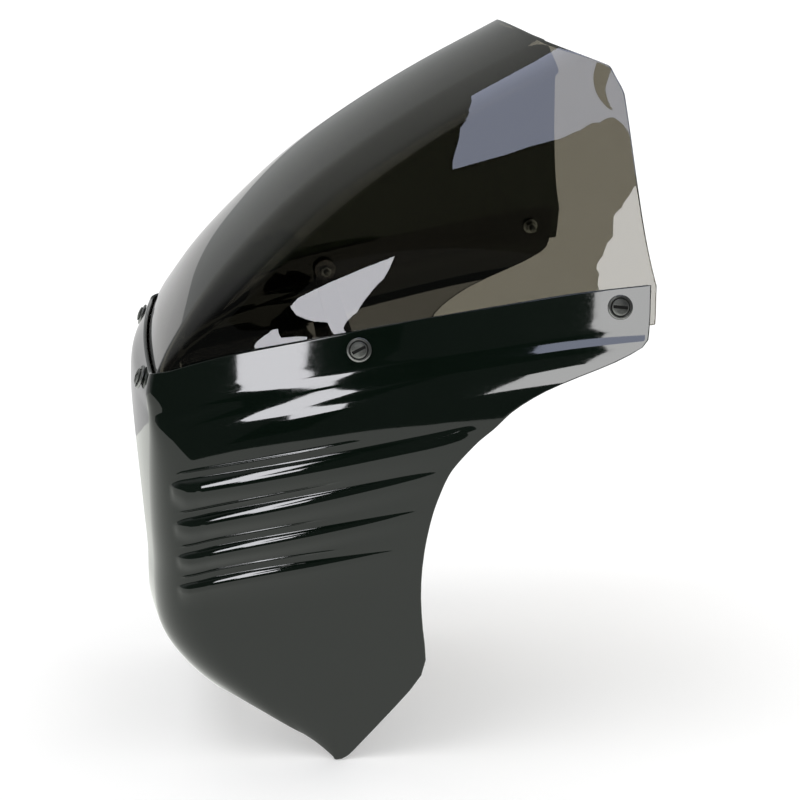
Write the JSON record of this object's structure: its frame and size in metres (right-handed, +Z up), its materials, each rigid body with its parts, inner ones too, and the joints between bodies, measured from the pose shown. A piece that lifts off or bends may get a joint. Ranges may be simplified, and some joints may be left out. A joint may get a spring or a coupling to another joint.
{
  "type": "motorcycle quarter fairing with windshield screen",
  "caption": "Gloss black quarter fairing for a motorcycle, with ribbed sides, a smoked screen held by slotted screws, and swivelling fork clamps.",
  "frame": {"origin": "centre of the round headlight opening, on the plane of the shell's front face", "axes": "+Z up, -Y towards the front wheel, +Y towards the rider, +X towards the vehicle's left"},
  "size_m": [0.3964, 0.3695, 0.536],
  "materials": {
    "gloss_black_shell": "gloss",
    "smoked_acrylic": "gloss",
    "zinc_screws": "satin",
    "cup_washer_steel": "satin",
    "black_rubber": "matte",
    "black_steel_stays": "satin",
    "black_clamps": "satin",
    "plain_steel": "satin"
  },
  "bodies": {
    "fairing": {"fairing_shell": "gloss_black_shell", "windscreen": "smoked_acrylic", "screen_screws": "zinc_screws", "cup_washers": "cup_washer_steel", "screen_grommets": "black_rubber", "screen_washers": "zinc_screws", "screen_nuts": "zinc_screws", "left_stay": "black_steel_stays", "right_stay": "black_steel_stays", "left_stud_plate": "plain_steel", "right_stud_plate": "plain_steel", "stay_washers": "zinc_screws", "stay_nuts": "zinc_screws"},
    "upper_left_clamp_body": {"upper_left_clamp": "black_clamps", "upper_left_clamp_cap": "black_clamps", "upper_left_liner": "black_rubber", "upper_left_pinch_bolts": "plain_steel", "upper_left_pinch_nuts": "zinc_screws", "upper_left_pivot_bolt": "plain_steel"},
    "lower_left_clamp_body": {"lower_left_clamp": "black_clamps", "lower_left_clamp_cap": "black_clamps", "lower_left_liner": "black_rubber", "lower_left_pinch_bolts": "plain_steel", "lower_left_pinch_nuts": "zinc_screws", "lower_left_pivot_bolt": "plain_steel"},
    "upper_right_clamp_body": {"upper_right_clamp": "black_clamps", "upper_right_clamp_cap": "black_clamps", "upper_right_liner": "black_rubber", "upper_right_pinch_bolts": "plain_steel", "upper_right_pinch_nuts": "zinc_screws", "upper_right_pivot_bolt": "plain_steel"},
    "lower_right_clamp_body": {"lower_right_clamp": "black_clamps", "lower_right_clamp_cap": "black_clamps", "lower_right_liner": "black_rubber", "lower_right_pinch_bolts": "plain_steel", "lower_right_pinch_nuts": "zinc_screws", "lower_right_pivot_bolt": "plain_steel"}
  },
  "joints": [
    {"name": "upper_left_swivel", "type": "hinge", "parent": "fairing", "child": "upper_left_clamp_body", "pos_m": [0.127, 0.17978, 0.06237], "axis": [1, 0, 0], "range_deg": [-15, 15]},
    {"name": "lower_left_swivel", "type": "hinge", "parent": "fairing", "child": "lower_left_clamp_body", "pos_m": [0.127, 0.12439, -0.04633], "axis": [1, 0, 0], "range_deg": [-15, 15]},
    {"name": "upper_right_swivel", "type": "hinge", "parent": "fairing", "child": "upper_right_clamp_body", "pos_m": [-0.127, 0.17978, 0.06237], "axis": [1, 0, 0], "range_deg": [-15, 15]},
    {"name": "lower_right_swivel", "type": "hinge", "parent": "fairing", "child": "lower_right_clamp_body", "pos_m": [-0.127, 0.12439, -0.04633], "axis": [1, 0, 0], "range_deg": [-15, 15]}
  ]
}
